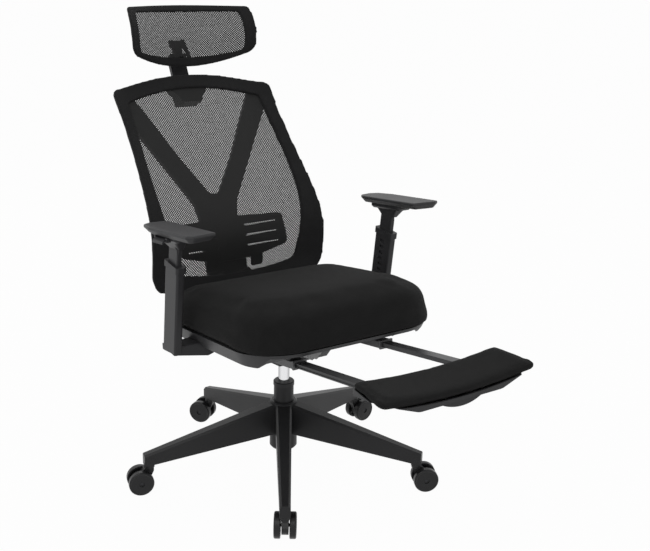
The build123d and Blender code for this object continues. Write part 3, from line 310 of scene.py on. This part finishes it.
# ---------------------------------------------------------------- tilt mechanism
# A pressed steel trough bolted under the pan, with the recline shaft, its torsion spring and the
# two bent control rods. The tension knob is a light grey moulding on its screw.
knob_colour = (0.42, 0.42, 0.42, 1.0)
finish(powder, "mechanism_housing", "tilt_spring", "height_lever", "recline_lever", "back_bracket")
finish(plated, "mechanism_bolts", "recline_shaft", "back_bolts", "arm_bolts", "headrest_pin")
knob_plastic = moulded("knob_plastic", knob_colour, roughness=0.38)
finish(knob_plastic, "tension_knob")


# ---------------------------------------------------------------- seat pan and board
# The moulded pan shows as a paler lip under the cushion's side. The plywood board in its tray is
# glued up from thin layers, which show as bands along its edge.
pan_colour = (0.05, 0.05, 0.052, 1.0)
dark_layer, pale_layer = (0.36, 0.23, 0.12, 1.0), (0.6, 0.44, 0.27, 1.0)
pan_plastic = moulded("pan_plastic", pan_colour, roughness=0.45, grain_size=0.0007)
finish(pan_plastic, "seat_pan")
plywood, wood, veneer = new_material("plywood")
bands = wood.nodes.new("ShaderNodeTexWave")
bands.bands_direction = "Z"
set_inputs(bands, Scale=90.0, Distortion=2.0, Detail=3.0)
wood.links.new(wood.nodes.new("ShaderNodeTexCoord").outputs["Object"], bands.inputs["Vector"])
layers = wood.nodes.new("ShaderNodeValToRGB")
layers.color_ramp.elements[0].color = dark_layer
layers.color_ramp.elements[1].color = pale_layer
wood.links.new(bands.outputs["Fac"], layers.inputs["Fac"])
wood.links.new(layers.outputs["Color"], veneer.inputs["Base Color"])
set_inputs(veneer, Roughness=0.6)
finish(plywood, "seat_board")


# ---------------------------------------------------------------- seat cushion
# Moulded foam in a matt black knitted cover, pulled down over the pan's rim. The cover is tight
# over a wide crown and swells a little between its corners, so it is blown up as cloth.
seat_voxel, seat_relax = 0.0075, 6
seat_start_in = 0.006       # how far the cloth starts inside the foam
seat_reach = 0.0075         # the furthest that a point may swell
air_pressure = 4.0
cloth_moments = 20          # how long the cloth swells
settle_passes = 10          # smooths what ripples it leaves
seat_tilt = radians(6.5)
seat_datum = Vector((0, 0, 0.36))
pinned_height = 0.084       # the cover is held by the pan below this height in the seat's frame
rim_height, rim_soft = 0.1, 0.03    # the rim starts to roll over below this height
skirt_drop = 0.012          # how far the front rim hangs over the pan's lip
skirt_run = (-0.17, -0.27)  # from nothing to all of it, along the seat
knit_colour = (0.0135, 0.0135, 0.0135, 1.0)
down = Vector((0, 0, -1))


def leaning(origin, lean):
    """A frame that leans back: X across, Y up along the piece, Z out of its front."""
    axes = Matrix(((1, 0, 0), (0, sin(lean), -cos(lean)), (0, cos(lean), sin(lean))))
    return Matrix.Translation(origin) @ axes.to_4x4()


def tipped(origin, tip):
    """A frame that is tipped nose-up: X across, Y backwards, Z up."""
    return Matrix.Translation(origin) @ Matrix.Rotation(-tip, 4, "X")


def limited(share):
    """Keeps a share between none and all."""
    return min(max(share, 0), 1)


def ray_target(mesh, local):
    """A mesh that rays can meet, in a piece's own frame."""
    spots = [local @ v.co for v in mesh.vertices]
    return BVHTree.FromPolygons(spots, [p.vertices for p in mesh.polygons])


def freeze(piece):
    """Turns what the modifiers make into the piece's own plain mesh."""
    bpy.context.view_layer.update()
    made = piece.evaluated_get(bpy.context.evaluated_depsgraph_get())
    shape = bpy.data.meshes.new_from_object(made)
    piece.modifiers.clear()
    piece.data = shape
    piece.data.name = piece.name


def piece_from(name, work):
    """Turns a mesh in the making into a new piece."""
    mesh = bpy.data.meshes.new(name)
    work.to_mesh(mesh)
    work.free()
    piece = bpy.data.objects.new(name, mesh)
    scene.collection.objects.link(piece)
    return piece


def softened(name, node, voxel, passes, inward=0.0):
    """A copy of a CAD solid in small even cells, its edges relaxed and its skin drawn in."""
    copy = bmesh.new()
    copy.from_mesh(nodes[node].data)
    bmesh.ops.remove_doubles(copy, verts=copy.verts, dist=1e-5)
    piece = piece_from(name, copy)
    cells = piece.modifiers.new("cells", "REMESH")
    cells.mode = "VOXEL"
    cells.voxel_size = voxel
    relax = piece.modifiers.new("relax", "SMOOTH")
    relax.factor = 0.5
    relax.iterations = passes
    if inward:
        draw = piece.modifiers.new("draw_in", "DISPLACE")
        draw.strength = -inward
        draw.mid_level = 0.0
    freeze(piece)
    return piece


def blow_up(piece, reach, held):
    """Swells a cover as cloth under air pressure, holds some of it and caps each point's way."""
    start = [v.co.copy() for v in piece.data.vertices]
    pins = piece.vertex_groups.new(name="held")
    pins.add([i for i, place in enumerate(start) if held(place)], 1.0, "REPLACE")
    cloth = piece.modifiers.new("cover", "CLOTH")
    cloth.settings.use_pressure = True
    cloth.settings.uniform_pressure_force = air_pressure
    cloth.settings.vertex_group_mass = "held"
    cloth.settings.effector_weights.gravity = 0
    cloth.point_cache.frame_start = 1
    cloth.point_cache.frame_end = cloth_moments
    for moment in range(1, cloth_moments + 1):
        scene.frame_set(moment)
    freeze(piece)
    scene.frame_set(1)
    for vertex, home in zip(piece.data.vertices, start):
        move = vertex.co - home
        if move.length > reach:
            vertex.co = home + move * (reach / move.length)
    piece.vertex_groups.clear()
    settle = piece.modifiers.new("settle", "SMOOTH")
    settle.factor = 0.5
    settle.iterations = settle_passes
    freeze(piece)


def lay_weave(piece, place):
    """A UV map in metres that follows the cover: its front lies flat and its sides fold out."""
    local = place.inverted()
    turn = local.to_3x3()
    spots = [local @ v.co for v in piece.data.vertices]
    facing = [turn @ v.normal for v in piece.data.vertices]
    top = max(spot.z for spot in spots)
    weave = piece.data.uv_layers.new(name="weave")
    for loop in piece.data.loops:
        spot, normal = spots[loop.vertex_index], facing[loop.vertex_index]
        weave.data[loop.index].uv = spot.xy + normal.xy * (top - spot.z)


def clad(piece, material):
    """Covers the whole of a piece in one material."""
    piece.data.materials.clear()
    piece.data.materials.append(material)


def upholster(piece, place, material):
    """Makes a cover finer and smooth, lays its weave and gives it its cloth."""
    finer = piece.modifiers.new("finer", "SUBSURF")
    finer.levels = finer.render_levels = 1
    freeze(piece)
    piece.data.shade_smooth()
    lay_weave(piece, place)
    clad(piece, material)


def make_knit():
    """Knitted or woven threads: small rounded stitches in staggered rows, fibres and pilling;
    painted shade in the hollows.
    """
    row_share = 0.5                     # a stitch is twice as long as it is wide
    fibres = 1.4                        # fibres to a stitch
    stitch_height = 0.5                 # beside the fibres, which count in full
    stitch_painted_shade, wash_shade = 0.45, 0.5
    tree, given, result = group(
        "knit_weave",
        [("Vector", "NodeSocketVector", None), ("Stitch", "NodeSocketFloat", 0.0018),
         ("Depth", "NodeSocketFloat", 0.0003)],
        [("Shade", "NodeSocketFloat"), ("Normal", "NodeSocketVector")])
    place, stitch = given.outputs["Vector"], given.outputs["Stitch"]
    parts = tree.nodes.new("ShaderNodeSeparateXYZ")
    tree.links.new(place, parts.inputs[0])
    turns = value_node(tree, "DIVIDE", tau, stitch)
    slow_turns = value_node(tree, "MULTIPLY", turns, row_share)
    columns = value_node(tree, "SINE", value_node(tree, "MULTIPLY", parts.outputs["X"], turns))
    rows = value_node(tree, "SINE", value_node(tree, "MULTIPLY", parts.outputs["Y"], slow_turns))
    stitches = value_node(tree, "MULTIPLY", columns, rows)
    fibre = noise(tree, place, Detail=3.0)
    tree.links.new(value_node(tree, "DIVIDE", fibres, stitch), fibre.inputs["Scale"])
    fuzz = value_node(tree, "SUBTRACT", fibre.outputs["Fac"], noise_mean)
    height = value_node(tree, "ADD", value_node(tree, "MULTIPLY", stitches, stitch_height), fuzz)
    wash = noise(tree, place, Scale=22.0, Detail=5.0)
    faded = value_node(tree, "SUBTRACT", wash.outputs["Fac"], noise_mean)
    tone = value_node(tree, "MULTIPLY", faded, wash_shade)
    # Painted shade and highlight: raised stitches and fibres are painted lighter, the hollows
    # between them darker.
    lit = value_node(tree, "ADD", value_node(tree, "MULTIPLY", height, stitch_painted_shade), 1.0)
    tree.links.new(value_node(tree, "ADD", lit, tone), result.inputs["Shade"])
    raise_normal(tree, height, given.outputs["Depth"], result)
    return tree


knit = make_knit()


def cover(name, colour, stitch, depth, **constants):
    """A cover's material, whose weave follows the piece's own map."""
    material, tree, shader = new_material(name)
    set_inputs(shader, **constants)
    weave_map = tree.nodes.new("ShaderNodeUVMap")
    weave_map.uv_map = "weave"
    threads = tree.nodes.new("ShaderNodeGroup")
    threads.node_tree = knit
    set_inputs(threads, Stitch=stitch, Depth=depth)
    tree.links.new(weave_map.outputs["UV"], threads.inputs["Vector"])
    # the weave's shade carries the painted shade in the stitches' hollows as well as the random
    # wash
    shaded(tree, shader, colour, threads.outputs["Shade"])
    tree.links.new(threads.outputs["Normal"], shader.inputs["Normal"])
    return material


def roll_over(piece, place, carrier, drop, rear, front):
    """Rolls a cushion's rim down over its carrier in front; what lies above the carrier stays."""
    local = place.inverted()
    below = ray_target(carrier, local)
    for vertex in piece.data.vertices:
        spot = local @ vertex.co
        share = limited((rear - spot.y) / (rear - front))
        low = limited((rim_height - spot.z) / rim_soft)
        if share * low > 0 and below.ray_cast(spot, down)[0] is None:
            spot.z -= drop * share * low
            vertex.co = place @ spot


seat_place = tipped(seat_datum, seat_tilt)
knit_cover = cover("knit_cover", knit_colour, stitch=0.0022, depth=0.0004, Roughness=0.9,
                   Specular_IOR_Level=0.12, Sheen_Weight=0.03, Sheen_Roughness=0.5)
seat_pad = softened("seat_pad", "seat_cushion", seat_voxel, seat_relax, seat_start_in)
roll_over(seat_pad, seat_place, nodes["seat_pan"].data, skirt_drop, *skirt_run)
blow_up(seat_pad, seat_reach, lambda place: (seat_place.inverted() @ place).z < pinned_height)
upholster(seat_pad, seat_place, knit_cover)
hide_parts("seat_cushion")
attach(seat_pad, "seat")


# ---------------------------------------------------------------- arm rests
# Each upright is a hollow moulding on a foot that bolts under the pan; a post slides in it and
# carries the swivel plate, the height trigger and the pad, a foam with a tough grained skin.
pad_voxel, pad_relax = 0.0017, 3
pad_colour = (0.045, 0.045, 0.047, 1.0)
pad_skin = moulded("pad_skin", pad_colour, roughness=0.5, grain_size=0.0016, depth=0.00012,
                   spread=0.1)
for hand in ("left", "right"):
    finish(satin, f"arm_{hand}_bracket", f"arm_{hand}_post", f"arm_{hand}_trigger",
           f"arm_{hand}_pivot")
    pad = softened(f"arm_{hand}_cushion", f"arm_{hand}_pad", pad_voxel, pad_relax)
    pad.data.shade_smooth()
    clad(pad, pad_skin)
    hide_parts(f"arm_{hand}_pad")
    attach(pad, f"arm_{hand}_rest")


# ---------------------------------------------------------------- back support and lumbar plate
# The Y behind the net and the slotted lumbar plate are glass-filled nylon mouldings; the bent
# steel bar and its bolts were painted with the mechanism.
shell_colour = (0.02, 0.02, 0.021, 1.0)
shell_plastic = moulded("shell_plastic", shell_colour, roughness=0.5)
finish(shell_plastic, "back_support", "lumbar_support", "headrest_bracket")


# ---------------------------------------------------------------- back: border and net
# A plastic frame carries a sleeve of dense black mesh fabric, and the open net is stretched
# across its window and sewn in under the sleeve's edge.
back_place = leaning((0, 0.21, 0.48), radians(28))
border_voxel, border_relax = 0.0035, 4
net_pitch = 0.0045
net_tuck = 0.006            # how far the net runs in under the border
net_open = 0.4              # the hole's width as a share of the pitch
seam = 0.0008               # the slit between the CAD net and its border
ray_start = 1.0             # rays start this far from the frame's plane, clear of every piece
spare_cells = 4             # cells beyond the net's own outline
hem_drop = 0.016            # how far the sleeve's hem hangs below the frame
hem_depth = 0.02            # the part of the border that the hem takes up
hem_rise = 0.016            # how much the border's lower edge rises to its corners
hem_half = 0.226            # half the width of that edge
border_colour = (0.017, 0.017, 0.0175, 1.0)
net_colour = (0.02, 0.02, 0.02, 1.0)


def make_netting():
    """Makes a hole in every cell of a sheet: each face is drawn in on itself and taken out."""
    tree = bpy.data.node_groups.new("netting", "GeometryNodeTree")
    tree.interface.new_socket("Sheet", in_out="INPUT", socket_type="NodeSocketGeometry")
    opening = tree.interface.new_socket("Opening", in_out="INPUT", socket_type="NodeSocketFloat")
    opening.default_value = net_open
    tree.interface.new_socket("Thread", in_out="INPUT", socket_type="NodeSocketMaterial")
    tree.interface.new_socket("Net", in_out="OUTPUT", socket_type="NodeSocketGeometry")
    given, result = tree.nodes.new("NodeGroupInput"), tree.nodes.new("NodeGroupOutput")
    inset = tree.nodes.new("GeometryNodeExtrudeMesh")
    inset.mode = "FACES"
    set_inputs(inset, Offset_Scale=0.0, Individual=True)
    shrink = tree.nodes.new("GeometryNodeScaleElements")
    shrink.domain = "FACE"
    pierce = tree.nodes.new("GeometryNodeDeleteGeometry")
    pierce.domain = "FACE"
    real = tree.nodes.new("GeometryNodeRealizeInstances")
    paint_net = tree.nodes.new("GeometryNodeSetMaterial")
    tree.links.new(given.outputs["Sheet"], inset.inputs["Mesh"])
    tree.links.new(inset.outputs["Mesh"], shrink.inputs["Geometry"])
    tree.links.new(inset.outputs["Top"], shrink.inputs["Selection"])
    tree.links.new(given.outputs["Opening"], shrink.inputs["Scale"])
    tree.links.new(shrink.outputs["Geometry"], pierce.inputs["Geometry"])
    tree.links.new(inset.outputs["Top"], pierce.inputs["Selection"])
    tree.links.new(pierce.outputs["Geometry"], real.inputs["Geometry"])
    tree.links.new(real.outputs["Geometry"], paint_net.inputs["Geometry"])
    tree.links.new(given.outputs["Thread"], paint_net.inputs["Material"])
    tree.links.new(paint_net.outputs["Geometry"], result.inputs["Net"])
    return tree


netting = make_netting()


def use_tree(piece, tree, **values):
    """Runs a Geometry Nodes tree on a piece with its named inputs, and keeps the plain mesh."""
    modifier = piece.modifiers.new(tree.name, "NODES")
    modifier.node_group = tree
    for item in tree.interface.items_tree:
        if item.in_out == "INPUT" and item.name in values:
            modifier[item.identifier] = values[item.name]
    freeze(piece)


def depth_finder(node, place):
    """Finds how far a CAD node's middle lies out of the frame's plane, or None beside it."""
    solid = ray_target(nodes[node].data, place.inverted())

    def middle(x, y):
        near = solid.ray_cast(Vector((x, y, ray_start)), down)[0]
        far = solid.ray_cast(Vector((x, y, -ray_start)), -down)[0]
        return None if near is None or far is None else (near.z + far.z) / 2
    return middle


def about(reach):
    """A point and the four at a distance from it."""
    return (0, 0), (reach, 0), (-reach, 0), (0, reach), (0, -reach)


def net_sheet(name, net_node, border_node, place, pitch, tuck, opening):
    """A net on the surface of its CAD sheet, woven on the bias and tucked under the border."""
    on_net, on_border = depth_finder(net_node, place), depth_finder(border_node, place)
    step = pitch / sqrt(2)
    local = place.inverted()
    spots = [local @ v.co for v in nodes[net_node].data.vertices]
    columns = int(max(abs(s.x) for s in spots) / step) + spare_cells
    first_row = int(min(s.y for s in spots) / step) - spare_cells
    last_row = int(max(s.y for s in spots) / step) + spare_cells
    sheet = bmesh.new()
    knots = {}

    def depth_at(x, y):
        for dx, dy in about(seam):
            for surface in (on_net, on_border):
                depth = surface(x + dx, y + dy)
                if depth is not None:
                    return depth
        return None

    def knot(i, j):
        if (i, j) not in knots:
            x, y = i * step, j * step
            depth = depth_at(x, y)
            spot = None if depth is None else place @ Vector((x, y, depth))
            knots[i, j] = None if spot is None else sheet.verts.new(spot)
        return knots[i, j]

    def in_reach(i, j):
        return any(on_net(i * step + dx, j * step + dy) is not None for dx, dy in about(tuck))

    for j in range(first_row, last_row + 1):
        for i in range(-columns, columns + 1):
            if (i + j) % 2 and in_reach(i, j):
                ring = [knot(i - 1, j), knot(i, j - 1), knot(i + 1, j), knot(i, j + 1)]
                if None not in ring:
                    sheet.faces.new(ring)
    piece = piece_from(name, sheet)
    use_tree(piece, netting, Opening=opening, Thread=thread)
    return piece


def stretch(net_node):
    """Hides the CAD node of a stretched net."""
    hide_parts(net_node)


thread = moulded("net_thread", net_colour, roughness=0.6, grain_size=0.001, depth=0.0001)
sleeve_cover = cover("sleeve_cover", border_colour, stitch=0.0016, depth=0.00035, Roughness=0.8,
                     Specular_IOR_Level=0.15, Sheen_Weight=0.03, Sheen_Roughness=0.45)
back_border = softened("back_border", "back_frame", border_voxel, border_relax)
for vertex in back_border.data.vertices:
    spot = back_place.inverted() @ vertex.co
    edge_height = hem_rise * (spot.x / hem_half) ** 2
    spot.y -= hem_drop * limited((edge_height - spot.y) / hem_depth)
    vertex.co = back_place @ spot
upholster(back_border, back_place, sleeve_cover)
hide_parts("back_frame")
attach(back_border, "back")
back_net = net_sheet("back_net", "back_mesh", "back_frame", back_place, net_pitch, net_tuck,
                     net_open)
stretch("back_mesh")
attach(back_net, "back")


# ---------------------------------------------------------------- headrest
# A small curved frame in the same sleeve and net as the back, carried by a flat moulded neck. Two
# moulded ears behind its lower edge turn on a steel pin.
head_place = leaning((0, 0.574, 1.034), radians(19))
head_voxel, head_relax = 0.0028, 3
head_pitch, head_tuck, head_open = 0.0042, 0.005, 0.36      # a slightly closer net than the back's
finish(satin, "headrest_post")
head_border = softened("headrest_border", "headrest_frame", head_voxel, head_relax)
upholster(head_border, head_place, sleeve_cover)
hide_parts("headrest_frame")
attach(head_border, "headrest")
head_net = net_sheet("headrest_net", "headrest_mesh", "headrest_frame", head_place, head_pitch,
                     head_tuck, head_open)
stretch("headrest_mesh")
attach(head_net, "headrest")


# ---------------------------------------------------------------- footrest
# Two steel tubes slide in guides under the pan and carry a cross tube. The moulded shell turns on
# it, and a foam pad in the seat's knit is pressed into the shell's top.
# Painted light: the guides are painted twice as pale as the rails, standing in for their lit side
# faces; their tops are dark.
rail_colour, guide_painted_light_colour = (0.065, 0.065, 0.067, 1.0), (0.13, 0.13, 0.133, 1.0)
foot_place = tipped((0, -0.552, 0.31), radians(-1.5))
foot_voxel, foot_relax = 0.0045, 3
foot_start_in, foot_reach = 0.0015, 0.0025      # its cloth starts and swells less than the seat's
rail_paint = moulded("rail_paint", rail_colour, roughness=0.38, grain_size=0.001, depth=0.00003,
                     Metallic=0.35)
guide_painted_light_finish = moulded("guide_painted_light_finish", guide_painted_light_colour, roughness=0.4, grain_size=0.001, depth=0.00003,
                      Metallic=0.35)
finish(rail_paint, "footrest_rails")
finish(guide_painted_light_finish, "footrest_guides")
finish(satin, "footrest_shell")
foot_pad = softened("footrest_pad", "footrest_cushion", foot_voxel, foot_relax, foot_start_in)
blow_up(foot_pad, foot_reach, lambda place: False)
upholster(foot_pad, foot_place, knit_cover)
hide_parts("footrest_cushion")
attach(foot_pad, "footrest")
